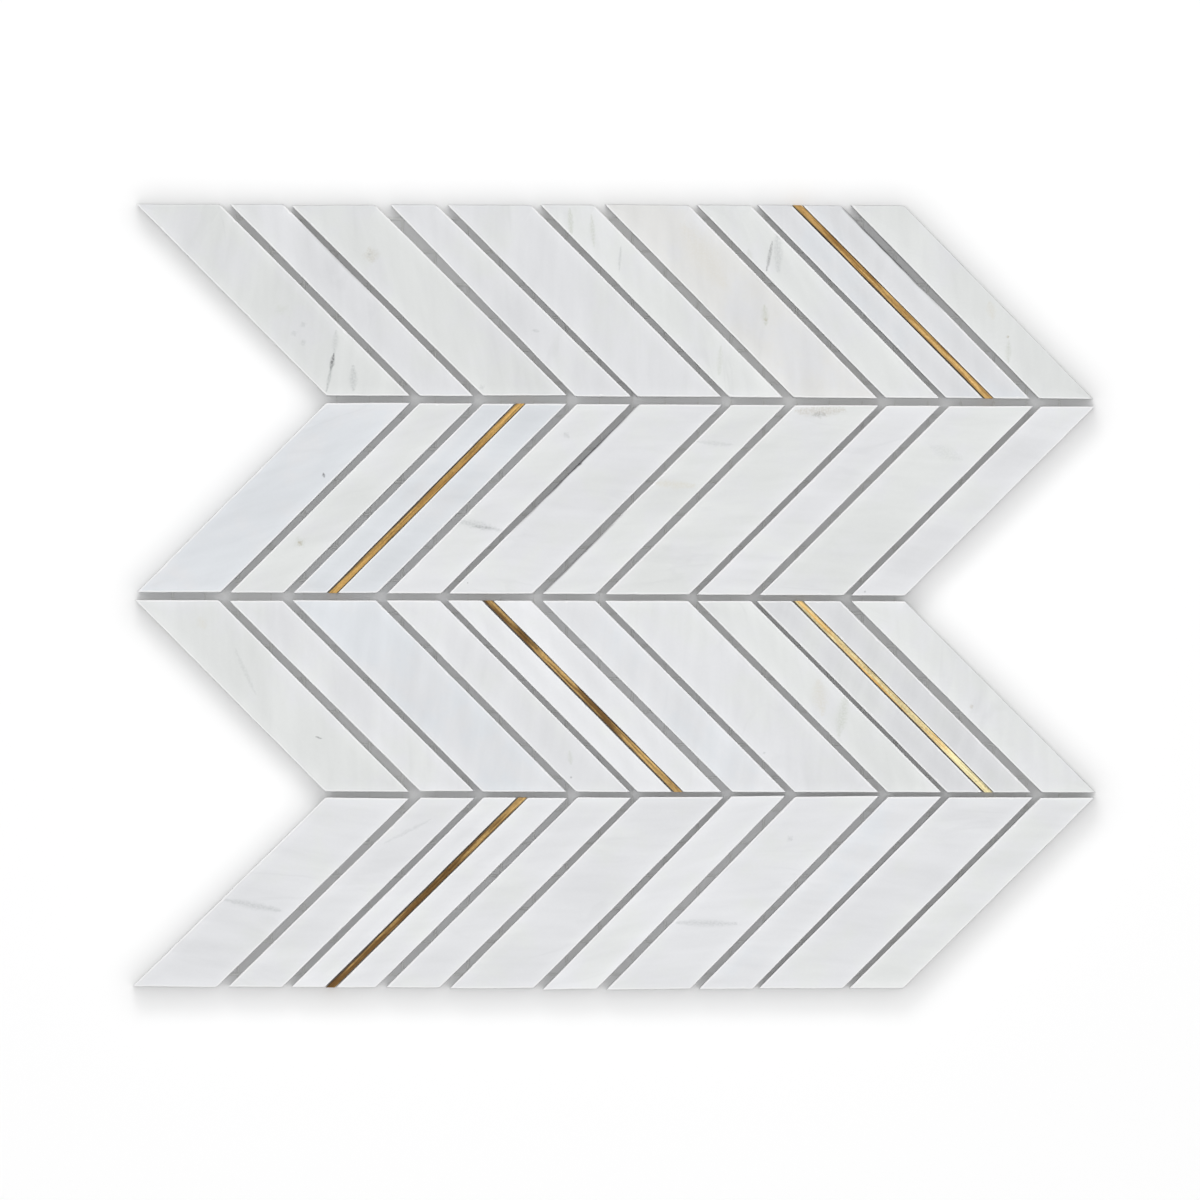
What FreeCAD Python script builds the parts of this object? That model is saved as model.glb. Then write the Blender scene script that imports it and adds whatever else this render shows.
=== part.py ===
import FreeCAD, Part
import math
import os
import Sketcher

# Driving sizes of the sheet, in millimetres and degrees
SIZES = {
    "wide_width": 19.0,
    "narrow_width": 12.2,
    "joint_width": 2.0,
    "lean_angle": 45.0,
    "row_height": 61.1,
    "stone_thickness": 9.5,
    "arris": 0.4,
    "brass_width": 2.0,
    "brass_set_back": 0.2,
    "glue_line": 0.25,
    "mesh_thickness": 0.5,
    "thread_width": 1.0,
    "mesh_inset": 1.5,
    "threads_per_row": 6,
    "pairs_per_row": 5,
}

# How each row was laid by hand: the turn of its first and last strip, how far the
# row sits to the right and low, how much lower its right end is than its left, how
# much shorter its strips are, and its brass bars with the distance of their lower
# and upper end off the middle of the wide strip; leans is +1 where strips fall to the right
ROWS = {
    1: {"leans": 1, "first_turn": -0.2, "last_turn": -0.7, "aside": 0.0, "low": 0.1, "drop": 0.7,
        "short": 0.0, "brass": {9: (0.1, -0.5)}},
    2: {"leans": -1, "first_turn": 0.0, "last_turn": -0.1, "aside": 0.4, "low": 0.4, "drop": 1.1,
        "short": 0.5, "brass": {3: (-0.7, -1.0)}},
    3: {"leans": 1, "first_turn": -0.2, "last_turn": -0.1, "aside": 0.2, "low": 0.3, "drop": 0.3,
        "short": 0.0, "brass": {5: (-0.4, -0.4), 9: (-0.2, -0.2)}},
    4: {"leans": -1, "first_turn": -0.6, "last_turn": 0.5, "aside": 0.4, "low": 0.0, "drop": 0.2,
        "short": 0.0, "brass": {3: (-0.7, -0.7)}},
}

# Strips that were set down beside their true place in the row, to the right, the
# further turn of those that were set down askew, and the spare width at the lower
# and upper end of a strip that was sawn to a taper
SET_OFF = {
    (1, 2): 0.2, (1, 3): 0.1, (1, 4): 0.5, (1, 6): -0.2, (1, 7): 0.3, (1, 9): -0.7, (1, 10): -0.6,
    (2, 1): -0.3, (2, 2): -0.2, (2, 4): 0.3, (2, 5): -0.1, (2, 7): 0.2, (2, 8): -0.2, (2, 9): -0.2, (2, 10): -0.6,
    (3, 1): -0.6, (3, 4): 0.2, (3, 5): -0.2, (3, 6): 0.3, (3, 7): 0.2, (3, 8): 0.2, (3, 9): -0.9, (3, 10): -0.3,
    (4, 1): -1.1, (4, 2): -0.3, (4, 3): -0.2, (4, 4): 0.2, (4, 5): 0.3, (4, 6): 0.1, (4, 7): 0.4, (4, 8): 0.3,
    (4, 9): -0.4, (4, 10): -1.0,
}
ASKEW = {
    (1, 3): 0.5, (1, 4): 0.1, (1, 5): 0.2, (1, 7): -0.1, (3, 2): 0.3,
    (4, 5): 0.3, (4, 6): 0.7, (4, 7): 0.5, (4, 8): 0.2, (4, 9): -0.3, (4, 10): -0.6,
}
TAPERED = {(1, 4): (0.5, -1.6)}

doc = FreeCAD.newDocument("chevron_wall_tile")
sheet = doc.addObject("Spreadsheet::Sheet", "sizes")


def lay_cells():
    """Name and value of every laying cell, one for each row, bar and strip set aside."""
    cells = {}
    for row, lay in ROWS.items():
        for word in ("first_turn", "last_turn", "aside", "low", "drop", "short"):
            cells[f"row_{row}_{word}"] = lay[word]
        for place, (lower, upper) in lay["brass"].items():
            cells[f"row_{row}_brass_{place:02d}_lower"] = lower
            cells[f"row_{row}_brass_{place:02d}_upper"] = upper
    for (row, place), aside in SET_OFF.items():
        cells[f"row_{row}_strip_{place:02d}_aside"] = aside
    for (row, place), askew in ASKEW.items():
        cells[f"row_{row}_strip_{place:02d}_askew"] = askew
    for (row, place), (lower, upper) in TAPERED.items():
        cells[f"row_{row}_strip_{place:02d}_lower_spare"] = lower
        cells[f"row_{row}_strip_{place:02d}_upper_spare"] = upper
    return cells


# The sheet of sizes
CELLS = {**SIZES, **lay_cells()}
for line, (name, value) in enumerate(CELLS.items(), 1):
    sheet.set(f"A{line}", name)
    sheet.set(f"B{line}", str(value))
    sheet.setAlias(f"B{line}", name)
doc.recompute()


def cell(name):
    """The expression that reads one cell, or zero where the row needs none."""
    return f"<<sizes>>.{name}" if name in CELLS else "0"


WIDE = cell("wide_width")
NARROW = cell("narrow_width")
JOINT = cell("joint_width")
LEAN = cell("lean_angle")
PLACES = 2 * int(SIZES["pairs_per_row"])
PAIR = f"({WIDE} + {NARROW} + 2 * {JOINT})"
ROW_RUN = f"(({cell('pairs_per_row')} * {PAIR} - {JOINT}) / cos({LEAN}))"
BAND = f"({cell('row_height')} + {JOINT})"
PITCH = f"({BAND} / {cell('threads_per_row')})"
CUT_BACK = f"({cell('mesh_inset')} / cos({LEAN}))"


def bind(feature, **expressions):
    """Tie properties of a feature to the sheet; double underscores stand for dots."""
    for name, expression in expressions.items():
        feature.setExpression(name.replace("__", "."), expression)


def row_middle(row):
    """Height of a row's centre line on the sheet."""
    return f"({len(ROWS) / 2 + 0.5 - row} * {BAND})"


def unit_pose(row, place):
    """Centre and turn of the strip at one place of a row, wide strips at the odd places."""
    pairs_before = (place - 1) // 2
    if place % 2:
        along = f"({pairs_before} * {PAIR} + {WIDE} / 2)"
    else:
        along = f"({pairs_before} * {PAIR} + {WIDE} + {JOINT} + {NARROW} / 2)"
    share = (place - 1) / (PLACES - 1)
    first, last = cell(f"row_{row}_first_turn"), cell(f"row_{row}_last_turn")
    strip = f"row_{row}_strip_{place:02d}"
    turn = f"({first} + {share:.4f} * ({last} - {first}) + {cell(strip + '_askew')})"
    aside = f"{cell(f'row_{row}_aside')} + {cell(strip + '_aside')}"
    across = f"({along} / cos({LEAN}) - {ROW_RUN} / 2 + {aside})"
    low = f"{cell(f'row_{row}_low')} + {share - 0.5:.4f} * {cell(f'row_{row}_drop')}"
    height = f"({row_middle(row)} - ({low}))"
    return across, height, turn


def slanted_outline(body, leans, lower_run, upper_run, rise, shift):
    """Sketch of a slanted strip with level ends, its lower left and upper right corner even about the origin."""
    sketch = body.newObject("Sketcher::SketchObject", body.Label + "_outline")
    planes = {feature.Role: feature for feature in body.Origin.OriginFeatures}
    sketch.AttachmentSupport = [(planes["XY_Plane"], "")]
    sketch.MapMode = "FlatFace"
    half = SIZES["row_height"] / 2
    slip = leans * half * math.tan(math.radians(SIZES["lean_angle"]))
    reach = SIZES["narrow_width"] / 2
    corners = [
        FreeCAD.Vector(slip - reach, -half, 0),
        FreeCAD.Vector(slip + reach, -half, 0),
        FreeCAD.Vector(reach - slip, half, 0),
        FreeCAD.Vector(-reach - slip, half, 0),
    ]
    for start, end in zip(corners, corners[1:] + corners[:1]):
        sketch.addGeometry(Part.LineSegment(start, end), False)
    bottom, right, top, left = range(4)
    for side in range(4):
        sketch.addConstraint(Sketcher.Constraint("Coincident", side, 2, (side + 1) % 4, 1))
    sketch.addConstraint(Sketcher.Constraint("Horizontal", bottom))
    sketch.addConstraint(Sketcher.Constraint("Horizontal", top))
    sketch.addConstraint(Sketcher.Constraint("Symmetric", bottom, 1, top, 1, -1, 1))
    ends = (left, 1, left, 2) if leans > 0 else (left, 2, left, 1)
    driving = {
        "lower_run": ("DistanceX", (bottom, 1, bottom, 2), 2 * reach, lower_run),
        "upper_run": ("DistanceX", (top, 2, top, 1), 2 * reach, upper_run),
        "rise": ("DistanceY", (right, 1, right, 2), 2 * half, rise),
        "shift": ("DistanceX", ends, 2 * abs(slip), shift),
    }
    for name, (kind, points, value, expression) in driving.items():
        index = sketch.addConstraint(Sketcher.Constraint(kind, *points, value))
        sketch.renameConstraint(index, name)
        sketch.setExpression(f"Constraints.{name}", expression)
    sketch.recompute()
    return sketch


def slanted_bar(label, row, place, lower, upper, thickness):
    """Bar sawn to the row's slant between two edges, each given at its lower and its upper end
    by the distance to the right of the middle line of the place."""
    body = doc.addObject("PartDesign::Body", label)
    body.Label = label
    leans = ROWS[row]["leans"]
    rise = f"({cell('row_height')} - {cell(f'row_{row}_short')})"
    drift = f"({upper[0]} - {lower[0]}) / cos({LEAN})"
    outline = slanted_outline(
        body, leans, f"({lower[1]} - {lower[0]}) / cos({LEAN})", f"({upper[1]} - {upper[0]}) / cos({LEAN})",
        rise, f"{rise} * tan({LEAN}) - {leans} * {drift}")
    pad = body.newObject("PartDesign::Pad", label + "_slab")
    pad.Profile = outline
    bind(pad, Length=thickness)
    across, height, turn = unit_pose(row, place)
    middle = f"({lower[0]} + {upper[1]}) / 2 / cos({LEAN})"
    bind(
        body,
        Placement__Base__x=f"{across} + {middle} * cos({turn})",
        Placement__Base__y=f"{height} + {middle} * sin({turn})",
        Placement__Base__z=cell("mesh_thickness"),
        Placement__Rotation__Angle=turn)
    doc.recompute()
    return body


def ease_face(body):
    """Take the sharp arris off all round the polished face."""
    slab = body.Tip
    heights = [face.CenterOfMass.z for face in slab.Shape.Faces]
    chamfer = body.newObject("PartDesign::Chamfer", body.Label + "_arris")
    chamfer.Base = (slab, [f"Face{heights.index(max(heights)) + 1}"])
    bind(chamfer, Size=cell("arris"))
    slab.Visibility = False
    return body


def marble_strip(label, row, place, lower, upper):
    """Strip of marble with eased edges on its polished face."""
    return ease_face(slanted_bar(label, row, place, lower, upper, cell("stone_thickness")))


def plain_strip(row, place):
    """Whole strip, wide at the odd places of a row and narrow at the even ones."""
    name = f"row_{row}_strip_{place:02d}"
    ends = []
    for end in ("lower", "upper"):
        half = f"({WIDE if place % 2 else NARROW} + {cell(f'{name}_{end}_spare')}) / 2"
        ends.append((f"(-{half})", f"({half})"))
    return marble_strip(name, row, place, *ends)


def split_strip(row, place):
    """Wide strip sawn in two along its length, with a brass bar glued in between."""
    stone_edge = f"({WIDE} / 2)"
    brass_edge = f"{cell('brass_width')} / 2"
    cut_edge = f"({brass_edge} + {cell('glue_line')})"
    left, brass, right = [], [], []
    for end in ("lower", "upper"):
        aside = cell(f"row_{row}_brass_{place:02d}_{end}")
        left.append((f"(-{stone_edge})", f"({aside} - {cut_edge})"))
        brass.append((f"({aside} - {brass_edge})", f"({aside} + {brass_edge})"))
        right.append((f"({aside} + {cut_edge})", stone_edge))
    name = f"row_{row}_strip_{place:02d}"
    brass_depth = f"{cell('stone_thickness')} - {cell('brass_set_back')}"
    return [
        marble_strip(name + "_left", row, place, *left),
        slanted_bar(f"row_{row}_brass_{place:02d}", row, place, *brass, brass_depth),
        marble_strip(name + "_right", row, place, *right),
    ]


def mesh_warps():
    """How many threads run up the sheet on each side of its middle, all tied to an outermost weft."""
    slope = math.radians(SIZES["lean_angle"])
    pair = SIZES["wide_width"] + SIZES["narrow_width"] + 2 * SIZES["joint_width"]
    run = (SIZES["pairs_per_row"] * pair - SIZES["joint_width"]) / math.cos(slope)
    band = SIZES["row_height"] + SIZES["joint_width"]
    pitch = band / SIZES["threads_per_row"]
    weft_end = run / 2 - SIZES["mesh_inset"] / math.cos(slope)
    weft_end += (band - pitch - SIZES["thread_width"]) / 2 * math.tan(slope)
    return int((weft_end - SIZES["thread_width"] / 2) / pitch + 0.5)


def mesh_opening(name, column, line, middle):
    """Square hole between four threads, counted in pitches from the middle of the row."""
    hole = doc.addObject("Part::Box", name)
    side = f"({PITCH} - {cell('thread_width')})"
    bind(
        hole, Length=side, Width=side, Height=f"3 * {cell('mesh_thickness')}",
        Placement__Base__x=f"{column} * {PITCH} - {side} / 2",
        Placement__Base__y=f"{middle} + {line} * {PITCH} - {side} / 2",
        Placement__Base__z=f"-{cell('mesh_thickness')}")
    return hole


def mesh_outline(name, row):
    """Sheet cut back from the row's slanted edges and squared off at its two sharp points."""
    top = f"{BAND} / 2"
    bottom = f"-{BAND} / 2"
    trim = f"({cell('mesh_inset')} + {JOINT} / 2)"
    if row == 1:
        top = f"({top} - {trim})"
    if row == len(ROWS):
        bottom = f"({bottom} + {trim})"
    half = f"({ROW_RUN} / 2 - {CUT_BACK})"
    slip = f"{ROWS[row]['leans']} * tan({LEAN})"
    slanted = doc.addObject("Part::Wedge", name + "_slanted")
    bind(
        slanted,
        Ymin=bottom, Xmin=f"-{half} - {bottom} * {slip}", Xmax=f"{half} - {bottom} * {slip}",
        Ymax=top, X2min=f"-{half} - {top} * {slip}", X2max=f"{half} - {top} * {slip}",
        Zmin="0", Zmax=cell("mesh_thickness"), Z2min="0", Z2max=cell("mesh_thickness"),
        Placement__Base__y=row_middle(row))
    span = doc.addObject("Part::Box", name + "_span")
    reach = f"({mesh_warps() - 0.5} * {PITCH} + {cell('thread_width')} / 2)"
    bind(
        span, Length=f"2 * {reach}", Width=f"2 * {BAND}", Height=f"3 * {cell('mesh_thickness')}",
        Placement__Base__x=f"-{reach}", Placement__Base__y=f"{row_middle(row)} - {BAND}",
        Placement__Base__z=f"-{cell('mesh_thickness')}")
    outline = doc.addObject("Part::MultiCommon", name + "_outline")
    outline.Shapes = [slanted, span]
    return outline


def backing_mesh(row):
    """Flat mesh under one row, its crossing threads left standing between square openings."""
    name = f"backing_mesh_row_{row}"
    lines = int(SIZES["threads_per_row"])
    pair = SIZES["wide_width"] + SIZES["narrow_width"] + 2 * SIZES["joint_width"]
    columns_across = SIZES["pairs_per_row"] * pair / (SIZES["row_height"] + SIZES["joint_width"]) * lines
    reach = columns_across / 2 / math.cos(math.radians(SIZES["lean_angle"])) + 1
    holes = []
    for step in range(lines + 1):
        line = step - lines / 2
        slip = -line * ROWS[row]["leans"] * math.tan(math.radians(SIZES["lean_angle"]))
        for column in range(1 - mesh_warps(), mesh_warps()):
            if abs(column - slip) < reach:
                holes.append(mesh_opening(f"{name}_hole_{len(holes) + 1}", column, line, row_middle(row)))
    openings = doc.addObject("Part::Compound", name + "_openings")
    openings.Links = holes
    mesh = doc.addObject("Part::Cut", name)
    mesh.Label = name
    mesh.Base = mesh_outline(name, row)
    mesh.Tool = openings
    return mesh


# Rows of strips from the top of the sheet down, each strip from the left
pieces = []
for row, lay in ROWS.items():
    for place in range(1, PLACES + 1):
        if place in lay["brass"]:
            pieces += split_strip(row, place)
        else:
            pieces.append(plain_strip(row, place))

# The mesh that the strips are glued to
pieces += [backing_mesh(row) for row in ROWS]
doc.recompute()

# Every feature is sound before anything is written
for feature in doc.Objects:
    if "Invalid" in feature.State or "Error" in feature.State:
        raise RuntimeError(f"{feature.Label} did not build: {feature.State}")
for piece in pieces:
    if piece.Shape.isNull() or not piece.Shape.isValid() or not piece.Shape.Solids:
        raise RuntimeError(f"{piece.Label} is not a sound solid")

# One file for each piece
os.makedirs("parts", exist_ok=True)
for piece in pieces:
    piece.Shape.exportStep(os.path.join("parts", piece.Label + ".step"))
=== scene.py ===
import math

import bmesh
import bpy
import numpy as np
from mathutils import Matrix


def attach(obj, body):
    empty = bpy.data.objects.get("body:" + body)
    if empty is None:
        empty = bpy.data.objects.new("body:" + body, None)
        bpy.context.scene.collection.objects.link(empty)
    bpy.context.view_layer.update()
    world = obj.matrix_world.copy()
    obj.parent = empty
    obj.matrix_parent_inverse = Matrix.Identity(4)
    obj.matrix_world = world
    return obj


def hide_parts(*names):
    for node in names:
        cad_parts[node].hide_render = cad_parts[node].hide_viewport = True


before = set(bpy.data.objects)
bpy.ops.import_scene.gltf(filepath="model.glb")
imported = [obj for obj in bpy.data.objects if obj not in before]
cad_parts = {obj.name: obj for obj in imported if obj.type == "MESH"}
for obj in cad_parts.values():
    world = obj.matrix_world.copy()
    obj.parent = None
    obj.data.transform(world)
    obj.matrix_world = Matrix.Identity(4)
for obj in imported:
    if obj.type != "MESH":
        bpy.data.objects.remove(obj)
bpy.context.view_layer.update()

# Backing mesh
# The sheet is held together by an open mesh of white glass-fibre yarn, woven
# flat, stiffened with resin and glued across the sawn backs of the strips.
# It stops a little inside the slanted edges and lies as one net under each row.
MM = 0.001
SHARP_ANGLE = 40
ROW_STEP = 63.1
ROW_LEANS = {1: 1, 2: -1, 3: 1, 4: -1}
YARN_STEP = ROW_STEP / 6
YARN_WIDTH = 1.0
YARN_SLIMMING = 2.3
YARN_PRESS = 0.14
YARN_DEPTH = 0.24
YARN_SIDES = 8
YARN_SWAY = 0.1
WEFT_RINGS = 140
WARP_RINGS = 36
NET_MIDDLE = 0.25
NET_HALF_RUN = 120.9
NET_REACH = 13.5 * YARN_STEP + 0.5
NET_TRIM = 2.5
YARN_WHITE = (0.93, 0.93, 0.92, 1)
YARN_SHADE = (0.86, 0.86, 0.84, 1)


def add_node(tree, kind, inputs=(), **settings):
    """Place one shader node: settings are its properties, inputs its socket values or links."""
    item = tree.nodes.new("ShaderNode" + kind)
    for name, value in settings.items():
        setattr(item, name, value)
    for key, value in dict(inputs).items():
        if isinstance(value, bpy.types.NodeSocket):
            tree.links.new(value, item.inputs[key])
        else:
            item.inputs[key].default_value = value
    return item


def carried(tree, mark, output="Fac"):
    """A value that the points of the mesh carry, as a number or as a vector."""
    return add_node(tree, "Attribute", attribute_name=mark).outputs[output]


def stretched(tree, place, scale):
    """The place scaled along each axis, so that a pattern is drawn out where the scale is small."""
    return add_node(tree, "Mapping", {"Vector": place, "Scale": scale}).outputs[0]


def noise(tree, place, scale, detail, roughness=0.5, distortion=0.0):
    """Cloudy noise about one half."""
    inputs = {"Vector": place, "Scale": scale, "Detail": detail, "Roughness": roughness,
              "Distortion": distortion}
    return add_node(tree, "TexNoise", inputs).outputs["Fac"]


def spread(tree, value, before, after, curve="LINEAR"):
    """A value carried from the range before to the range after, and held at both ends."""
    inputs = {"Value": value, 1: before[0], 2: before[1], 3: after[0], 4: after[1]}
    return add_node(tree, "MapRange", inputs, interpolation_type=curve).outputs[0]


def bumped(tree, height, strength, distance):
    """Normal of a surface raised by a height."""
    inputs = {"Height": height, "Strength": strength, "Distance": distance}
    return add_node(tree, "Bump", inputs).outputs[0]


def blank_material(name):
    """New material holding only its shader and its output, ready to be wired."""
    material = bpy.data.materials.new(name)
    material.use_nodes = True
    tree = material.node_tree
    tree.nodes.clear()
    shader = add_node(tree, "BsdfPrincipled")
    add_node(tree, "OutputMaterial", {"Surface": shader.outputs[0]})
    return material, tree, shader


def shell_quads(rings, sides):
    """Quads between neighbouring rings of points, each ring closed on itself."""
    ring, side = np.meshgrid(np.arange(rings - 1), np.arange(sides), indexing="ij")
    here, above = ring * sides, (ring + 1) * sides
    after = (side + 1) % sides
    return np.stack([here + side, here + after, above + after, above + side], -1).reshape(-1, 4)


def solid_piece(name, points, quads, marks, material):
    """Closed mesh object from points in millimetres; marks are values carried by its points."""
    mesh = bpy.data.meshes.new(name)
    mesh.from_pydata(points * MM, [], quads)
    for mark, values in marks.items():
        kind, field = ("FLOAT_VECTOR", "vector") if values.ndim == 2 else ("FLOAT", "value")
        mesh.attributes.new(mark, kind, "POINT").data.foreach_set(field, values.ravel())
    shape = bmesh.new()
    shape.from_mesh(mesh)
    bmesh.ops.remove_doubles(shape, verts=shape.verts, dist=1e-7)
    bmesh.ops.recalc_face_normals(shape, faces=shape.faces)
    shape.to_mesh(mesh)
    shape.free()
    mesh.shade_smooth()
    mesh.set_sharp_from_angle(angle=math.radians(SHARP_ANGLE))
    mesh.materials.append(material)
    piece = bpy.data.objects.new(name, mesh)
    bpy.context.scene.collection.objects.link(piece)
    return piece


def flat_yarn(path, across):
    """Yarn as a thin ellipse carried along its path, wider where it is pressed at each
    crossing and drawn to a point at both cut ends."""
    angle = np.linspace(0, 2 * np.pi, YARN_SIDES, endpoint=False)
    along = path @ np.array([across[1], across[0], 0])
    press = 1 + YARN_PRESS * np.cos(2 * np.pi * (along / YARN_STEP - 0.5))
    press[[0, -1]] = 0
    wide = YARN_WIDTH / YARN_SLIMMING * np.outer(press, np.cos(angle))
    tall = YARN_DEPTH / 2 * np.outer(np.sign(press), np.sin(angle))
    points = path[:, None] + wide[..., None] * np.array(across)
    points = points + tall[..., None] * np.array([0, 0, 1.0])
    fibre = np.stack([np.broadcast_to(along[:, None], wide.shape), wide, tall], -1)
    return points.reshape(-1, 3), fibre.reshape(-1, 3)


def sway(along, sign):
    """Height of a yarn that passes over and under its crossings in turn, a cosine of two pitches."""
    return NET_MIDDLE + sign * YARN_SWAY * np.cos(np.pi * (along / YARN_STEP - 0.5))


def row_net(row):
    """All yarns under one row: wefts along it and warps across it, cut on the row's slant."""
    leans = ROW_LEANS[row]
    middle = (2.5 - row) * ROW_STEP
    low = middle - ROW_STEP / 2 + (NET_TRIM if row == 4 else 0)
    high = middle + ROW_STEP / 2 - (NET_TRIM if row == 1 else 0)
    yarns = []
    for line in np.arange(-2.5, 3):
        y = middle + line * YARN_STEP
        slip = -line * YARN_STEP * leans
        start = max(slip - NET_HALF_RUN, -NET_REACH)
        end = min(slip + NET_HALF_RUN, NET_REACH)
        x = np.linspace(start, end, WEFT_RINGS)
        sign = (-1) ** round(y / YARN_STEP - 0.5)
        yarns.append(flat_yarn(np.stack([x, np.full_like(x, y), sway(x, sign)], -1), (0, 1.0, 0)))
    for column in np.arange(-13.5, 14):
        x = column * YARN_STEP
        slants = sorted(middle - leans * (x + side * NET_HALF_RUN) for side in (-1, 1))
        y = np.linspace(max(low, slants[0]), min(high, slants[1]), WARP_RINGS)
        sign = -((-1) ** round(column - 0.5))
        yarns.append(flat_yarn(np.stack([np.full_like(y, x), y, sway(y, sign)], -1), (1.0, 0, 0)))
    points, fibres = (np.concatenate(part) for part in zip(*yarns))
    starts = np.cumsum([0] + [len(yarn) for yarn, _ in yarns[:-1]])
    quads = [shell_quads(len(yarn) // YARN_SIDES, YARN_SIDES) + start
             for (yarn, _), start in zip(yarns, starts)]
    return points, np.concatenate(quads), fibres


glass_yarn, tree, shader = blank_material("glass_yarn")
fibre = carried(tree, "fibre", "Vector")
strands = noise(tree, stretched(tree, fibre, (0.35, 9, 9)), scale=1.0, detail=3)
resin = noise(tree, fibre, scale=0.08, detail=2)
tints = add_node(tree, "ValToRGB", {"Fac": strands})
shade_stop, white_stop = tints.color_ramp.elements
shade_stop.position, shade_stop.color = 0.3, YARN_SHADE
white_stop.position, white_stop.color = 0.62, YARN_WHITE
tree.links.new(tints.outputs[0], shader.inputs["Base Color"])
tree.links.new(spread(tree, resin, (0.3, 0.7), (0.38, 0.62)), shader.inputs["Roughness"])
tree.links.new(bumped(tree, strands, 0.5, 0.00006), shader.inputs["Normal"])

for row in ROW_LEANS:
    points, quads, fibre = row_net(row)
    net = solid_piece(f"glass_net_row_{row}", points, quads, {"fibre": fibre}, glass_yarn)
    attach(net, "root")
    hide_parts(f"backing_mesh_row_{row}")


# Marble strips
# Slabs of white crystalline marble are sawn into wide and narrow strips with
# slanted ends, honed on the face, eased along every face edge, and laid by hand
# on the mesh with open joints; the bedding of the stone lies askew to each strip.
STRIP_FOOT = 0.5
STRIP_TOP = 10.0
ARRIS = 0.38
ARRIS_WANDER = 0.16
NICKS = 7
NICK_DEPTH = (0.05, 0.32)
EDGE_WANDER = 0.02
BLUNT_CORNER = 0.04
BACK_BEVEL = 0.25
SIDE_RINGS = (3.2, 6.2)
FACE_MARGIN = 0.25
RIGHT_SIDE = 1
TOP_SIDE = 2
FAINT_ARRIS_HIGHLIGHT = 0.15
RIM_STEP = 1.0
SPLIT_PLACES = {(1, 9), (2, 3), (3, 5), (3, 9), (4, 3)}
SAW_MARKS = (0.9, 1.11)
ARRIS_HIGHLIGHT_WHITE = (0.93, 0.93, 0.93, 1)
GREY_VEIN = (0.46, 0.47, 0.48, 1)
EDGE_GLOW = 0.045
EDGE_GLOW_REACH = 4.5
LILAC_GREY = (0.708, 0.715, 0.732, 1)
GREEN_GREY = (0.706, 0.720, 0.713, 1)
BLUE_GREY = (0.683, 0.707, 0.736, 1)
BEIGE = (0.714, 0.714, 0.703, 1)
GREEN_STRIPS = {(1, 1), (1, 3), (1, 6), (1, 8), (1, 10), (2, 2), (2, 6), (2, 7), (2, 9),
                (3, 1), (3, 8), (3, 10), (4, 10)}
BLUE_STRIPS = {(2, 1), (2, 3), (3, 3)}
FAINT_BLUE_STRIPS = {(1, 9), (3, 6), (4, 8)}
BEIGE_STRIPS = {(1, 7)}
ROW_LIGHTNESS = {1: -0.7, 2: 0.0, 3: 0.8, 4: 1.6}
LIGHTNESS = {
    (1, 1): -1.2, (1, 2): -0.9, (1, 3): -1.2, (1, 4): -0.8, (1, 6): 1.9, (1, 8): 0.9, (1, 9): -2.0,
    (2, 1): -0.2, (2, 3): -1.5, (2, 4): 0.8, (2, 8): 0.8,
    (3, 1): -0.9, (3, 3): -0.5, (3, 5): 2.4, (3, 9): -4.5, (3, 10): 0.5,
    (4, 1): -0.6, (4, 2): -0.6, (4, 3): 1.2, (4, 5): -0.6, (4, 6): 1.4, (4, 8): 0.8, (4, 9): -0.5,
}


def sawn_corners(node):
    """Corners of a sawn bar in millimetres, anticlockwise from the lower left, read off its foot."""
    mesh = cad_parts[node].data
    places = np.empty(len(mesh.vertices) * 3)
    mesh.vertices.foreach_get("co", places)
    places = places.reshape(-1, 3) / MM
    foot = np.unique(places[places[:, 2] < places[:, 2].min() + 0.01, :2].round(3), axis=0)
    foot = foot[np.argsort(foot[:, 1])]
    lower = foot[:2][np.argsort(foot[:2, 0])]
    upper = foot[2:][np.argsort(foot[2:, 0])[::-1]]
    return np.concatenate([lower, upper])


def inward_steps(corners):
    """Step at each corner that brings both of its edges in by one millimetre."""
    edge = np.roll(corners, -1, 0) - corners
    edge /= np.linalg.norm(edge, axis=1)[:, None]
    after = np.stack([-edge[:, 1], edge[:, 0]], -1)
    before = np.roll(after, 1, 0)
    return (before + after) / (1 + (before * after).sum(1))[:, None]


def sawn_rim(corners, step):
    """Points round the outline at even steps with their inward steps, the point of the middle
    ridge that each one faces and its distance from the edge, and the first point of each side."""
    inward = inward_steps(corners)
    ends = []
    for left, right in ((0, 1), (3, 2)):
        edge = corners[right] - corners[left]
        reach = edge @ edge / ((inward[left] - inward[right]) @ edge)
        ends.append(np.append(corners[left] + reach * inward[left], reach))
    facing = np.stack([ends[0], ends[0], ends[1], ends[1]])
    lengths = np.linalg.norm(np.roll(corners, -1, 0) - corners, axis=1)
    counts = np.maximum(np.round(lengths / step), 2).astype(int)
    counts[2:] = counts[:2]
    side = np.repeat(np.arange(4), counts)
    share = np.concatenate([np.arange(count) / count for count in counts])[:, None]
    following = (side + 1) % 4
    rim, steps, ridge = (values[side] * (1 - share) + values[following] * share
                         for values in (corners, inward, facing))
    return rim, steps, ridge[:, :2], ridge[:, 2], np.flatnonzero(share[:, 0] == 0)


def smooth_wander(rng, count, waves):
    """Closed random line of unit size: a few sines of rising count and random phase."""
    turn = np.linspace(0, 2 * np.pi, count, endpoint=False)
    order = np.arange(3, 3 + waves)
    phase = rng.uniform(0, 2 * np.pi, waves)
    return np.sin(np.outer(turn, order) + phase).sum(1) / np.sqrt(waves)


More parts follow.
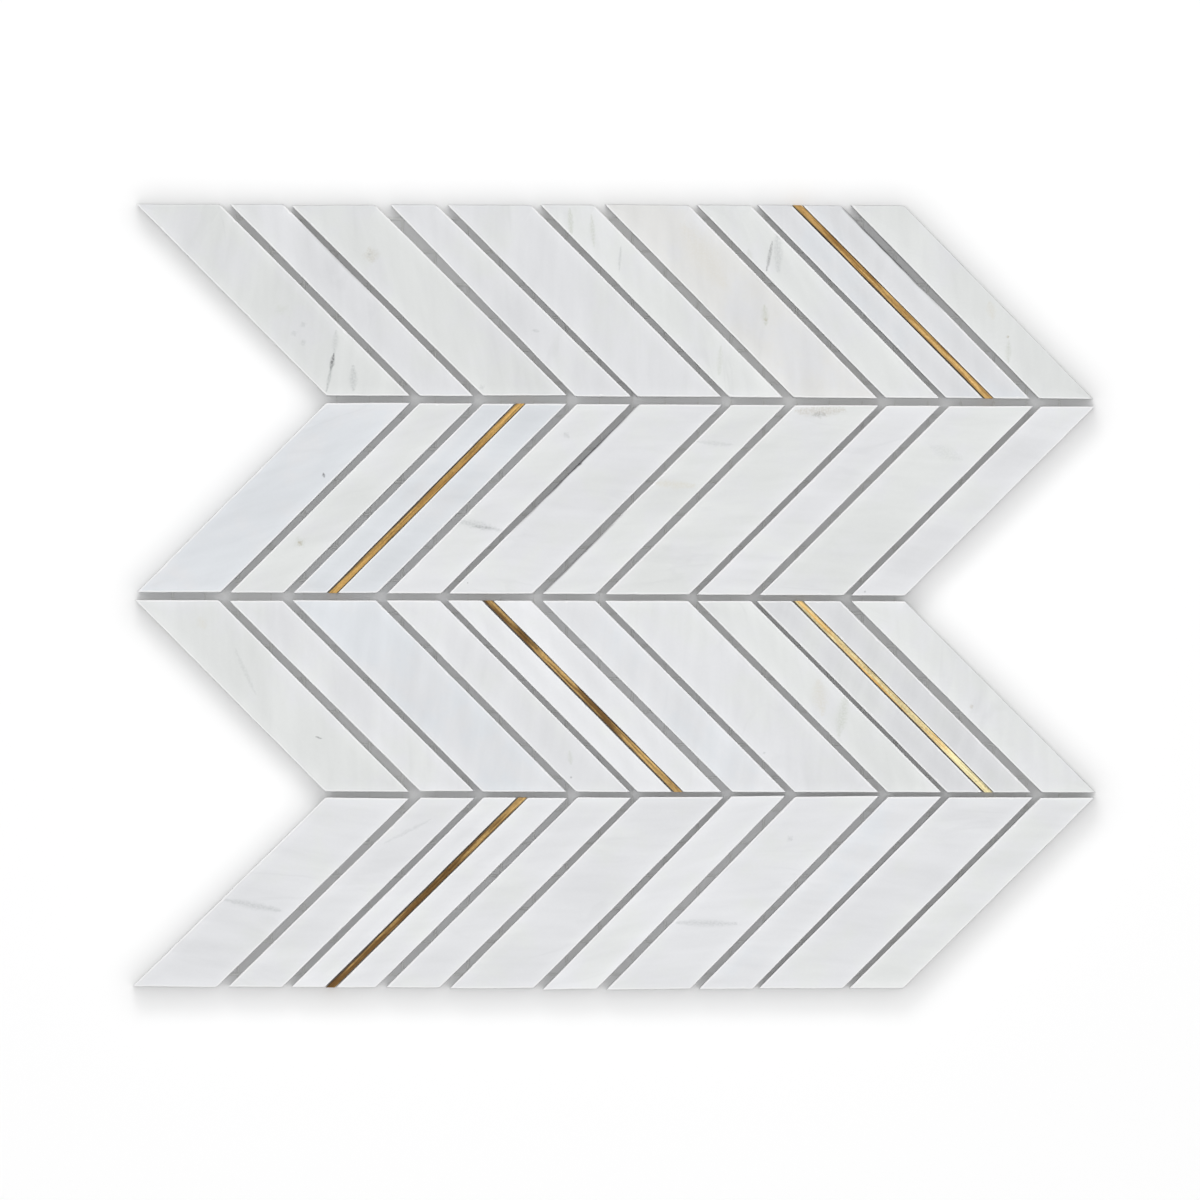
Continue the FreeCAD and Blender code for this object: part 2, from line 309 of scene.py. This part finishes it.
def strip_shell(corners, rng, darkened_edges, sides_with_faint_highlight):
    """Rings from the middle of the back, out and up the sawn side, over the rounded arris
    and in to the middle of the face; the arris wanders and is nicked here and there, carries a
    white painted highlight that is faint and without the painted edge glow on the sides given,
    and a darkening along one long edge grows and fades as a sine between its two ends."""
    rim, steps, ridge, breadth, corner_at = sawn_rim(corners, RIM_STEP)
    count = len(rim)
    round_off = ARRIS * (1 + ARRIS_WANDER * smooth_wander(rng, count, 24))
    nicks = rng.integers(0, count, NICKS)
    round_off[nicks] += rng.uniform(*NICK_DEPTH, NICKS)
    blunt = EDGE_WANDER * smooth_wander(rng, count, 9)
    blunt[corner_at] += BLUNT_CORNER
    insets = [breadth, BACK_BEVEL + blunt, blunt, blunt, blunt]
    heights = [STRIP_FOOT + rise for rise in (0, 0, BACK_BEVEL, *SIDE_RINGS)]
    for turn in np.radians([0, 30, 60, 90]):
        insets.append(blunt + round_off * (1 - math.cos(turn)))
        heights.append(STRIP_TOP - round_off * (1 - math.sin(turn)))
    insets += [blunt + round_off + FACE_MARGIN, breadth]
    heights += [STRIP_TOP, STRIP_TOP]
    places = rim + np.stack(insets)[..., None] * steps
    places[[0, -1]] = ridge
    levels = np.stack([np.broadcast_to(height, count) for height in heights])
    edge_darkening = np.zeros(levels.shape)
    for edge, depth, start, end in darkened_edges:
        right = np.arange(corner_at[1], corner_at[2])[::-1]
        run = right if edge == "right" else np.arange(corner_at[3], count)
        share = np.clip((np.linspace(0, 1, len(run)) - start) / (end - start), 0, 1)
        # one long edge darkened over the arris, growing and fading along its length
        edge_darkening[5:9, run] = depth * np.outer([1, 1, 1, 0.75], np.sin(np.pi * share) ** 0.7)
    inset = np.stack(insets)
    # painted highlight: the rings over the arris are whitened, only faintly on the sides given
    arris_highlight = np.outer([0, 0, 0, 0, 0, 0.6, 1, 1, 0.7, 0, 0], np.ones(count))
    side_at = np.append(corner_at, count)
    for side in sides_with_faint_highlight:
        run = np.arange(side_at[side], side_at[side + 1])
        inset[:, run] = EDGE_GLOW_REACH
        arris_highlight[:, run] *= FAINT_ARRIS_HIGHLIGHT
    points = np.concatenate([places, levels[..., None]], -1).reshape(-1, 3)
    marks = {
        "polish": np.repeat([0, 0, 0, 0, 0, 0, 0.3, 0.7, 1, 1, 1], count),
        "arris_highlight": arris_highlight.ravel(),
        "inset": inset.ravel(),
        "edge_darkening": edge_darkening.ravel(),
    }
    return points, shell_quads(len(heights), count), marks


def bedded_places(points, leans, rng):
    """Where each point lay in the quarry block: the sheet turned so the bedding runs along X,
    then moved to a place of its own."""
    turn = (math.pi / 2 if leans > 0 else 0) + rng.normal(0, 0.16)
    cos, sin = math.cos(turn), math.sin(turn)
    block = points @ np.array([[cos, -sin, 0], [sin, cos, 0], [0, 0, 1]])
    return block + rng.uniform(-400, 400, 3)


def group_tree(name, inputs, outputs):
    """Empty shader group with named sockets, and the sockets inside it to read and to fill."""
    group = bpy.data.node_groups.new(name, "ShaderNodeTree")
    for way, sockets in (("INPUT", inputs), ("OUTPUT", outputs)):
        for socket, kind in sockets.items():
            group.interface.new_socket(socket, in_out=way, socket_type="NodeSocket" + kind)
    read = group.nodes.new("NodeGroupInput").outputs
    return group, read, group.nodes.new("NodeGroupOutput").inputs


def arith(tree, operation, *values, clamp=False):
    """Result of one operation on numbers, such as ADD, or MULTIPLY_ADD with three of them."""
    inputs = dict(enumerate(values))
    return add_node(tree, "Math", inputs, operation=operation, use_clamp=clamp).outputs[0]


def vectors(tree, operation, first, second):
    """Result of one operation on vectors: a number for DOT_PRODUCT and DISTANCE, else a vector."""
    inputs = {0: first, ("Scale" if operation == "SCALE" else 1): second}
    item = add_node(tree, "VectorMath", inputs, operation=operation)
    return item.outputs["Value" if operation in {"DOT_PRODUCT", "DISTANCE"} else "Vector"]


def blend(tree, share, first, second):
    """Mix of two colours, with as much of the second as its share."""
    inputs = {"Factor": share, 6: first, 7: second}
    return add_node(tree, "Mix", inputs, data_type="RGBA").outputs[2]


# Shared look of the stone: cloudy patches of a second tint, streaks along the
# bedding, thin faint veins and sugary grain, from the place in the quarry block.
stone_look, given, made = group_tree(
    "marble_body",
    {"Block": "Vector", "Tint": "Color", "Patch": "Color", "Lightness": "Float"},
    {"Colour": "Color", "Grain": "Float"})
tree, block = stone_look, given["Block"]
bedding = stretched(tree, block, (0.3, 1.0, 1.0))
thin_bedding = stretched(tree, block, (0.16, 1.0, 1.0))
cloud = noise(tree, bedding, scale=0.07, detail=3.0, roughness=0.55)
patch = noise(tree, block, scale=0.055, detail=4.0, roughness=0.6)
streak = noise(tree, thin_bedding, scale=0.3, detail=2.0, distortion=0.3)
fine = noise(tree, block, scale=1.1, detail=3.0, roughness=0.7)
folds = noise(tree, bedding, scale=0.055, detail=4.0, distortion=0.8)
from_line = arith(tree, "ABSOLUTE", arith(tree, "SUBTRACT", folds, 0.5))
line = spread(tree, from_line, (0.0, 0.035), (1.0, 0.0), "SMOOTHSTEP")
sparse = noise(tree, block, scale=0.03, detail=1.0)
vein = arith(tree, "MULTIPLY", line, spread(tree, sparse, (0.5, 0.66), (0.0, 0.1)))
patchy = spread(tree, patch, (0.46, 0.66), (0.0, 0.8), "SMOOTHSTEP")
hue = blend(tree, patchy, given["Tint"], given["Patch"])
lightness = arith(tree, "MULTIPLY_ADD", given["Lightness"], 0.02, 1.0)
for pattern, gain in ((cloud, 0.2), (streak, 0.1), (fine, 0.05)):
    swing = arith(tree, "MULTIPLY_ADD", pattern, gain, -gain / 2)
    lightness = arith(tree, "ADD", lightness, swing)
shade = vectors(tree, "SCALE", hue, lightness)
tree.links.new(blend(tree, vein, shade, GREY_VEIN), made["Colour"])
tree.links.new(fine, made["Grain"])

# A vein or speck of foreign mineral: the band about a line from start to end, in
# millimetres on the sheet, tapered to both ends and broken up by a ragged noise.
mineral_mark, given, made = group_tree(
    "mineral_mark",
    {"Place": "Vector", "Start": "Vector", "End": "Vector", "Width": "Float", "Ragged": "Float"},
    {"Mask": "Float"})
tree, place = mineral_mark, given["Place"]
warp = add_node(tree, "TexNoise", {"Vector": place, "Scale": 0.9, "Detail": 4.0, "Roughness": 0.65})
centred = vectors(tree, "SUBTRACT", warp.outputs["Color"], (0.5, 0.5, 0.5))
bent = vectors(tree, "ADD", place, vectors(tree, "SCALE", centred, given["Ragged"]))
reach = vectors(tree, "SUBTRACT", bent, given["Start"])
span = vectors(tree, "SUBTRACT", given["End"], given["Start"])
along = vectors(tree, "DOT_PRODUCT", reach, span)
share = arith(tree, "DIVIDE", along, vectors(tree, "DOT_PRODUCT", span, span), clamp=True)
off_line = vectors(tree, "DISTANCE", reach, vectors(tree, "SCALE", span, share))
bulge = arith(tree, "SINE", arith(tree, "MULTIPLY", share, math.pi))
taper = arith(tree, "MULTIPLY_ADD", bulge, 0.65, 0.35)
ratio = arith(tree, "DIVIDE", off_line, arith(tree, "MULTIPLY", taper, given["Width"]))
band = spread(tree, ratio, (0.0, 1.2), (1.0, 0.0), "SMOOTHSTEP")
crumbs = noise(tree, place, scale=1.7, detail=4.0, roughness=0.7)
broken = spread(tree, crumbs, (0.38, 0.58), (0.25, 1.0))
tree.links.new(arith(tree, "MULTIPLY", band, broken), made["Mask"])

SOOT = (0.085, 0.085, 0.09, 1)
SLATE = (0.36, 0.38, 0.38, 1)
MOSS = (0.44, 0.47, 0.38, 1)
RUST = (0.33, 0.26, 0.13, 1)
SAND = (0.62, 0.57, 0.45, 1)
# Mineral marks by row and place: colour, strength, start and end on the sheet, width, raggedness.
MINERALS = {
    (1, 1): [
        (SOOT, 0.95, (-90.2, 77.6), (-91.2, 72.4), 0.95, 0.6),
        (SLATE, 0.75, (-90.8, 74.0), (-92.6, 65.6), 0.8, 0.7),
        (SLATE, 0.4, (-89.4, 85.0), (-90.2, 77.6), 1.3, 1.2),
        (SLATE, 0.5, (-84.0, 73.6), (-84.0, 66.0), 1.7, 1.4),
        (SLATE, 0.35, (-100.2, 87.6), (-99.8, 86.4), 1.4, 1.4),
        (SLATE, 0.35, (-103.2, 84.8), (-102.6, 83.6), 1.5, 1.4),
        (SLATE, 0.35, (-100.2, 82.0), (-99.8, 80.6), 1.4, 1.4),
        (MOSS, 0.2, (-107.5, 92.5), (-106.8, 91.0), 3.5, 2.0),
    ],
    (1, 3): [
        (RUST, 0.24, (-78.6, 111.0), (-77.8, 107.4), 3.4, 3.0),
        (SLATE, 0.55, (-79.0, 109.6), (-78.6, 109.0), 0.9, 0.9),
        (SLATE, 0.3, (-43.2, 67.4), (-42.6, 66.4), 1.4, 1.6),
    ],
    (1, 4): [(SLATE, 0.4, (-26.8, 85.2), (-24.6, 84.8), 0.7, 0.8)],
    (1, 6): [
        (MOSS, 0.5, (-14.8, 124.0), (-14.2, 116.0), 1.2, 1.2),
        (MOSS, 0.4, (-7.8, 122.0), (-7.0, 112.0), 1.0, 1.2),
        (SLATE, 0.4, (1.6, 112.0), (1.0, 104.0), 0.6, 0.6),
        (MOSS, 0.3, (33.6, 80.0), (33.0, 71.0), 1.3, 1.4),
    ],
    (1, 7): [
        (MOSS, 0.5, (47.5, 93.0), (47.9, 87.0), 1.6, 1.2),
        (RUST, 0.45, (47.9, 89.0), (48.0, 88.2), 0.8, 0.6),
        (SAND, 0.25, (22.0, 118.0), (34.0, 100.0), 6.0, 5.0),
    ],
    (1, 8): [
        (SOOT, 0.6, (50.0, 113.6), (48.2, 104.2), 0.75, 0.7),
        (SLATE, 0.4, (51.6, 117.0), (51.9, 104.0), 2.0, 1.8),
        (MOSS, 0.3, (42.4, 111.0), (43.0, 107.0), 1.2, 1.2),
    ],
    (1, 10): [
        (RUST, 0.7, (125.2, 83.4), (125.4, 82.8), 0.7, 0.6),
        (MOSS, 0.35, (125.6, 81.6), (125.4, 75.0), 1.3, 1.0),
        (SAND, 0.3, (119.4, 94.0), (120.6, 89.0), 2.0, 1.6),
    ],
    (2, 1): [(SOOT, 1.0, (-93.5, 39.5), (-93.3, 38.2), 0.6, 0.3)],
    (2, 2): [
        (MOSS, 0.3, (-101.6, 18.4), (-100.2, 16.4), 2.6, 2.2),
        (RUST, 0.5, (-101.4, 17.4), (-100.6, 16.6), 1.2, 1.2),
    ],
    (2, 4): [
        (SLATE, 0.45, (-51.0, 24.4), (-37.0, 21.2), 1.5, 2.2),
        (SOOT, 0.35, (-46.0, 22.6), (-39.0, 21.8), 0.6, 1.6),
        (SLATE, 0.4, (-16.4, 52.2), (-15.2, 51.0), 1.3, 1.2),
    ],
    (2, 5): [(SOOT, 0.8, (-47.5, 4.5), (-47.3, 4.3), 0.4, 0.2)],
    (2, 6): [
        (SAND, 0.4, (12.0, 36.4), (25.0, 35.4), 1.8, 2.4),
        (SLATE, 0.3, (26.0, 49.6), (37.4, 48.4), 1.0, 1.6),
    ],
    (2, 7): [
        (RUST, 0.32, (57.6, 59.2), (73.0, 59.6), 2.4, 3.0),
        (SOOT, 0.35, (63.0, 58.0), (67.0, 58.6), 1.3, 3.0),
    ],
    (2, 9): [(SLATE, 0.2, (101.0, 48.0), (110.0, 44.0), 3.0, 3.0)],
    (2, 10): [(SOOT, 1.0, (79.5, 1.7), (79.7, 1.5), 0.45, 0.2)],
    (3, 1): [
        (SLATE, 0.28, (-121.8, -16.8), (-115.2, -31.2), 0.9, 1.8),
        (SOOT, 0.9, (-96.0, -44.8), (-94.0, -45.4), 0.5, 1.6),
        (SAND, 0.25, (-133.0, -7.0), (-131.6, -10.0), 2.2, 2.0),
    ],
    (3, 4): [
        (MOSS, 0.35, (-14.8, -49.6), (-14.4, -53.4), 1.2, 1.0),
        (SOOT, 0.6, (-14.4, -57.6), (-14.2, -58.0), 0.5, 0.4),
    ],
    (3, 7): [(SLATE, 0.6, (47.2, -49.6), (47.6, -50.2), 0.7, 0.7)],
    (3, 8): [
        (SAND, 0.35, (64.6, -27.0), (66.0, -37.0), 3.4, 2.6),
        (MOSS, 0.4, (73.8, -31.4), (71.2, -44.0), 2.4, 2.0),
    ],
    (3, 10): [(RUST, 0.35, (113.6, -34.6), (113.8, -35.6), 0.9, 0.9)],
    (4, 1): [(SLATE, 0.45, (-125.0, -97.0), (-107.0, -100.4), 1.5, 1.6)],
    (4, 2): [(SLATE, 0.3, (-74.0, -78.8), (-59.4, -71.4), 0.8, 1.6)],
    (4, 7): [
        (SLATE, 0.4, (19.4, -104.2), (38.6, -104.6), 1.4, 1.6),
        (SLATE, 0.35, (55.2, -76.8), (56.2, -77.8), 1.6, 1.4),
    ],
}
# Long edges darkened over the arris: which edge, how dark, and from where to where, counted from its
# upper end.
DARKENED_EDGES = {
    "row_1_strip_02": [("right", 0.45, 0.06, 0.5)],
    "row_1_strip_09_right": [("right", 1.0, -0.1, 0.55)],
    "row_2_strip_05": [("left", 1.0, -0.1, 0.7)],
    "row_2_strip_06": [("left", 0.8, 0.55, 1.1)],
}


def marble(name, tint, patch, lightness, minerals):
    """Honed marble of one strip: stone colour and mineral marks on the face, a painted glow
    towards the edges where light comes through, a white painted highlight along the arris,
    darker along some long edges, saw marks on the dull sides."""
    material, tree, shader = blank_material(name)
    block = carried(tree, "block", "Vector")
    polish = carried(tree, "polish")
    inputs = {"Block": block, "Tint": tint, "Patch": patch, "Lightness": lightness}
    body = add_node(tree, "Group", inputs, node_tree=stone_look).outputs
    # painted glow: the face is paler towards its edges, as if lit through the stone
    glow = spread(tree, carried(tree, "inset"), (0.0, EDGE_GLOW_REACH), (1 + EDGE_GLOW, 1.0),
                  "SMOOTHERSTEP")
    colour = vectors(tree, "SCALE", body["Colour"], glow)
    if minerals:
        metres = add_node(tree, "TexCoord").outputs["Object"]
        place = vectors(tree, "MULTIPLY", metres, (1 / MM, 1 / MM, 0))
    for mineral, strength, start, end, width, ragged in minerals:
        inputs = {"Place": place, "Start": (*start, 0), "End": (*end, 0), "Width": width,
                  "Ragged": ragged}
        mark = add_node(tree, "Group", inputs, node_tree=mineral_mark).outputs["Mask"]
        colour = blend(tree, arith(tree, "MULTIPLY", mark, strength), colour, mineral)
    saw_lines = noise(tree, stretched(tree, block, (0.05, 0.05, 3.2)), scale=1.0, detail=2.0)
    saw_marks = spread(tree, saw_lines, (0.3, 0.7), SAW_MARKS)
    sawn = blend(tree, polish, vectors(tree, "SCALE", body["Colour"], saw_marks), colour)
    # painted highlight: white along the arris
    arris_highlight = arith(tree, "MULTIPLY", carried(tree, "arris_highlight"), 0.85)
    edged = blend(tree, arris_highlight, sawn, ARRIS_HIGHLIGHT_WHITE)
    # darker along some long edges
    darkened_colour = blend(tree, carried(tree, "edge_darkening"), edged, SOOT)
    tree.links.new(darkened_colour, shader.inputs["Base Color"])
    dull = spread(tree, polish, (0.0, 1.0), (0.8, 0.32))
    grainy = arith(tree, "MULTIPLY_ADD", body["Grain"], 0.14, -0.07)
    tree.links.new(arith(tree, "ADD", dull, grainy), shader.inputs["Roughness"])
    inputs = {"Factor": polish, 2: saw_lines, 3: body["Grain"]}
    relief = add_node(tree, "Mix", inputs, data_type="FLOAT").outputs[0]
    depth = spread(tree, polish, (0.0, 1.0), (0.5, 0.05))
    tree.links.new(bumped(tree, relief, depth, 0.0001), shader.inputs["Normal"])
    return material


for row, leans in ROW_LEANS.items():
    for place in range(1, 11):
        stem = f"row_{row}_strip_{place:02d}"
        where = (row, place)
        tint, patch = LILAC_GREY, GREEN_GREY
        if where in GREEN_STRIPS:
            tint, patch = GREEN_GREY, LILAC_GREY
        elif where in BLUE_STRIPS:
            tint, patch = BLUE_GREY, LILAC_GREY
        elif where in FAINT_BLUE_STRIPS:
            tint, patch = LILAC_GREY, BLUE_GREY
        elif where in BEIGE_STRIPS:
            tint, patch = BEIGE, LILAC_GREY
        lightness = ROW_LIGHTNESS[row] + LIGHTNESS.get(where, 0.0)
        stone = marble(f"marble_{stem}", tint, patch, lightness, MINERALS.get(where, []))
        seed = 100 * row + place
        rng = np.random.default_rng(seed)
        nodes = [stem + "_left", stem + "_right"] if where in SPLIT_PLACES else [stem]
        # sides with only a faint painted highlight and no painted glow: the upper edges of row 1 and
        # the right end of the last strip in rows 1 and 3
        sides_with_faint_highlight = [TOP_SIDE] if row == 1 else []
        sides_with_faint_highlight += [RIGHT_SIDE] if place == 10 and leans > 0 else []
        for node in nodes:
            corners, darkened_edges = sawn_corners(node), DARKENED_EDGES.get(node, [])
            points, quads, marks = strip_shell(corners, rng, darkened_edges, sides_with_faint_highlight)
            marks["block"] = bedded_places(points, leans, np.random.default_rng(seed))
            strip = solid_piece(f"marble_{node}", points, quads, marks, stone)
            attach(strip, "root")
            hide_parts(node)


# Brass bars
# Thin flat bars of rolled brass are glued upright between the two halves of a
# wide strip and ground nearly flush, leaving lengthwise scratches and brown
# tarnish that differs from bar to bar.
BAR_TOP = 9.8
BAR_EDGE = 0.04
BAR_BACK_BEVEL = 0.05
BAR_RIM_STEP = 1.5
BAR_SPACING = 300
DARK_RESIN_AND_SHADE = (0.05, 0.033, 0.018, 1)
GOLD = (0.70, 0.46, 0.18, 1)
OCHRE = (0.61, 0.38, 0.13, 1)
PALE_GOLD = (0.93, 0.81, 0.47, 1)
BROWN = (0.26, 0.14, 0.045, 1)
DARK_BROWN = (0.155, 0.085, 0.032, 1)
# Metal, tarnish, and the tarnished share at places from the upper end of the bar to the lower.
BRASS_BARS = {
    "row_1_brass_09": (GOLD, BROWN, [
        (0, 0.45), (0.17, 0.6), (0.35, 0.5), (0.65, 0.45), (0.85, 0.4), (1, 0.4)]),
    "row_2_brass_03": (OCHRE, BROWN, [(0, 0.1), (0.2, 0.4), (0.8, 0.4), (1, 0.1)]),
    "row_3_brass_05": (GOLD, DARK_BROWN, [
        (0, 0.75), (0.14, 0.6), (0.2, 0.8), (0.3, 0.35), (0.45, 0.4), (0.52, 0.8), (0.64, 0.8),
        (0.72, 0.4), (1, 0.4)]),
    "row_3_brass_09": (PALE_GOLD, OCHRE, [
        (0, 0.45), (0.3, 0.6), (0.5, 0.45), (0.75, 0.3), (1, 0.0)]),
    "row_4_brass_03": (GOLD, DARK_BROWN, [
        (0, 0.25), (0.14, 0.45), (0.28, 0.8), (0.6, 0.8), (1, 0.95)]),
}

# Shared look of the metal: lengthwise scratches and pits, blotches of tarnish covering
# about the asked share, and dark resin over both edges with painted shade, the left one darkest.
scratched, given, made = group_tree(
    "ground_brass", {"Bar": "Vector", "Share": "Float"},
    {"Tarnish": "Float", "Scratch": "Float", "Edge": "Float"})
tree, bar = scratched, given["Bar"]
scratch = noise(tree, stretched(tree, bar, (0.05, 2.2, 2.2)), scale=1.0, detail=5.0, roughness=0.7)
pits = noise(tree, bar, scale=1.5, detail=4.0, roughness=0.75)
rubbed = arith(tree, "SUBTRACT", arith(tree, "MULTIPLY_ADD", pits, 0.45, scratch), 0.225)
blotch = noise(tree, stretched(tree, bar, (0.11, 2.4, 2.4)), scale=0.7, detail=4.0, roughness=0.6)
level = arith(tree, "MULTIPLY_ADD", given["Share"], -0.5, 1.25)
over = arith(tree, "SUBTRACT", arith(tree, "ADD", scratch, blotch), level)
tarnished = spread(tree, over, (-0.2, 0.2), (0.0, 1.0), "SMOOTHSTEP")
aside = add_node(tree, "SeparateXYZ", {0: bar}).outputs["Y"]
# painted shade: the 0.22 share darkens the left edge more than the right
sided = arith(tree, "MULTIPLY_ADD", aside, 0.22, arith(tree, "ABSOLUTE", aside))
two_sides = stretched(tree, bar, (0.05, 4.0, 0.0))
patches = noise(tree, two_sides, scale=1.0, detail=3.0, roughness=0.6)
resin_and_shade = arith(tree, "MULTIPLY_ADD", patches, 1.4, sided)
tree.links.new(tarnished, made["Tarnish"])
tree.links.new(rubbed, made["Scratch"])
tree.links.new(spread(tree, resin_and_shade, (1.45, 1.78), (0.0, 0.95), "SMOOTHSTEP"), made["Edge"])


def ground_brass(name, metal, tarnish, shares):
    """Brass ground along its length, brown where it has tarnished, dark along its two edges
    from resin and painted shade, with scratches that lighten and darken it as painted sheen.
    """
    material, tree, shader = blank_material(name)
    share = add_node(tree, "ValToRGB", {"Fac": carried(tree, "length")})
    stops = share.color_ramp.elements
    while len(stops) < len(shares):
        stops.new(0.5)
    for stop, (position, part) in zip(stops, shares):
        stop.position = position
        stop.color = (part, part, part, 1)
    inputs = {"Bar": carried(tree, "bar", "Vector"), "Share": share.outputs[0]}
    look = add_node(tree, "Group", inputs, node_tree=scratched).outputs
    colour = blend(tree, look["Tarnish"], metal, tarnish)
    # painted sheen: the scratches lighten and darken the metal colour in lengthwise streaks, in
    # place of highlights
    scratch_sheen = arith(tree, "MULTIPLY_ADD", look["Scratch"], 2.8, -0.4)
    # dark resin with painted shade along both edges
    edged = blend(tree, look["Edge"], vectors(tree, "SCALE", colour, scratch_sheen), DARK_RESIN_AND_SHADE)
    tree.links.new(edged, shader.inputs["Base Color"])
    tree.links.new(arith(tree, "SUBTRACT", 1.0, look["Edge"]), shader.inputs["Metallic"])
    gloss = spread(tree, look["Tarnish"], (0.0, 1.0), (0.34, 0.5))
    tree.links.new(gloss, shader.inputs["Roughness"])
    tree.links.new(bumped(tree, look["Scratch"], 0.25, 0.00006), shader.inputs["Normal"])
    return material


def bar_shell(corners):
    """Rings of a plain ground bar from the middle of its foot to the middle of its top."""
    rim, steps, ridge, _, _ = sawn_rim(corners, BAR_RIM_STEP)
    insets = np.array([0, BAR_BACK_BEVEL, 0, 0, 0.3 * BAR_EDGE, BAR_EDGE, 2 * BAR_EDGE, 0])
    rises = np.array([0, 0, BAR_BACK_BEVEL])
    drops = np.array([BAR_EDGE, 0.3 * BAR_EDGE, 0, 0, 0])
    heights = np.concatenate([STRIP_FOOT + rises, BAR_TOP - drops])
    places = rim + insets[:, None, None] * steps
    places[[0, -1]] = ridge
    levels = np.broadcast_to(heights[:, None, None], places.shape[:2] + (1,))
    points = np.concatenate([places, levels], -1).reshape(-1, 3)
    return points, shell_quads(len(insets), len(rim))


for order, (node, finish) in enumerate(BRASS_BARS.items()):
    corners = sawn_corners(node)
    points, quads = bar_shell(corners)
    lengthwise = corners[2] - corners[1]
    lengthwise /= np.linalg.norm(lengthwise)
    offset = points[:, :2] - corners.mean(0)
    along = offset @ lengthwise
    across = offset @ np.array([-lengthwise[1], lengthwise[0]])
    marks = {
        "bar": np.stack([along + BAR_SPACING * order, across, points[:, 2]], -1),
        "length": (along.max() - along) / (along.max() - along.min()),
    }
    brass = ground_brass(f"brass_{node}", *finish)
    bar = solid_piece(f"brass_{node}", points, quads, marks, brass)
    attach(bar, "root")
    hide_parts(node)


# Floor
# The sheet lies face up on a plain white studio floor of matt paper. The camera and
# reflections see the paper white, and it throws less light back than it shows.
PAPER_HALF = 6
PAPER_WHITE = (0.97, 0.97, 0.97, 1)
PAPER_BOUNCE = (0.38, 0.38, 0.38, 1)


def seen_directly(tree):
    """One where a ray comes from the camera, a reflection or a clear body, and zero elsewhere."""
    path = add_node(tree, "LightPath").outputs
    seen = arith(tree, "MAXIMUM", path["Is Camera Ray"], path["Is Glossy Ray"])
    return arith(tree, "MAXIMUM", seen, path["Is Transmission Ray"])


floor_mesh = bpy.data.meshes.new("studio_floor")
floor_corners = np.array([(-1, -1, 0), (1, -1, 0), (1, 1, 0), (-1, 1, 0)]) * PAPER_HALF
floor_mesh.from_pydata(floor_corners, [], [(0, 1, 2, 3)])
floor = bpy.data.objects.new("studio_floor", floor_mesh)
bpy.context.scene.collection.objects.link(floor)
paper, tree, shader = blank_material("white_paper")
sheet = blend(tree, seen_directly(tree), PAPER_BOUNCE, PAPER_WHITE)
tree.links.new(sheet, shader.inputs["Base Color"])
shader.inputs["Roughness"].default_value = 1.0
shader.inputs["Specular IOR Level"].default_value = 0.0
floor_mesh.materials.append(paper)


# Light
# One broad soft box hangs overhead, a lamp stands towards the top of the picture,
# a small lamp high up shines straight down into the joints, and the white room fills in.
ROOM_FILL = 0.07
LAMPS = {
    "softbox": {"size": 5.0, "energy": 67, "place": (0.0, 0.0, 1.69)},
    "key_lamp": {"size": 1.5, "energy": 17, "place": (-0.4, 2.15, 2.3)},
    "down_lamp": {"size": 0.8, "energy": 104, "place": (0.0, 0.0, 9.0)},
}
for name, lamp in LAMPS.items():
    light = bpy.data.lights.new(name, "AREA")
    light.shape = "DISK"
    light.size = lamp["size"]
    light.energy = lamp["energy"]
    holder = bpy.data.objects.new(name, light)
    holder.location = lamp["place"]
    holder.visible_camera = False
    holder.visible_glossy = False
    bpy.context.scene.collection.objects.link(holder)

room = bpy.data.worlds.new("white_room")
room.use_nodes = True
bpy.context.scene.world = room
tree = room.node_tree
tree.nodes.clear()
strength = arith(tree, "MULTIPLY_ADD", seen_directly(tree), 1 - ROOM_FILL, ROOM_FILL)
backdrop = add_node(tree, "Background", {"Color": (1, 1, 1, 1), "Strength": strength})
add_node(tree, "OutputWorld", {"Surface": backdrop.outputs[0]})


# Camera
# The photograph looks straight down from far away, with the sheet a little right of
# the middle. A long lens at that distance keeps the joints free of perspective.
VIEW_MIDDLE = (-5.08, -1.06)
VIEW_WIDTH = 383.67
view = bpy.data.cameras.new("overhead")
view.lens = 600
view.sensor_width = 36
view_height = STRIP_TOP * MM + VIEW_WIDTH * MM * view.lens / view.sensor_width
camera = bpy.data.objects.new("overhead", view)
camera.location = (VIEW_MIDDLE[0] * MM, VIEW_MIDDLE[1] * MM, view_height)
bpy.context.scene.collection.objects.link(camera)
bpy.context.scene.camera = camera
bpy.context.scene.view_settings.view_transform = "Standard"
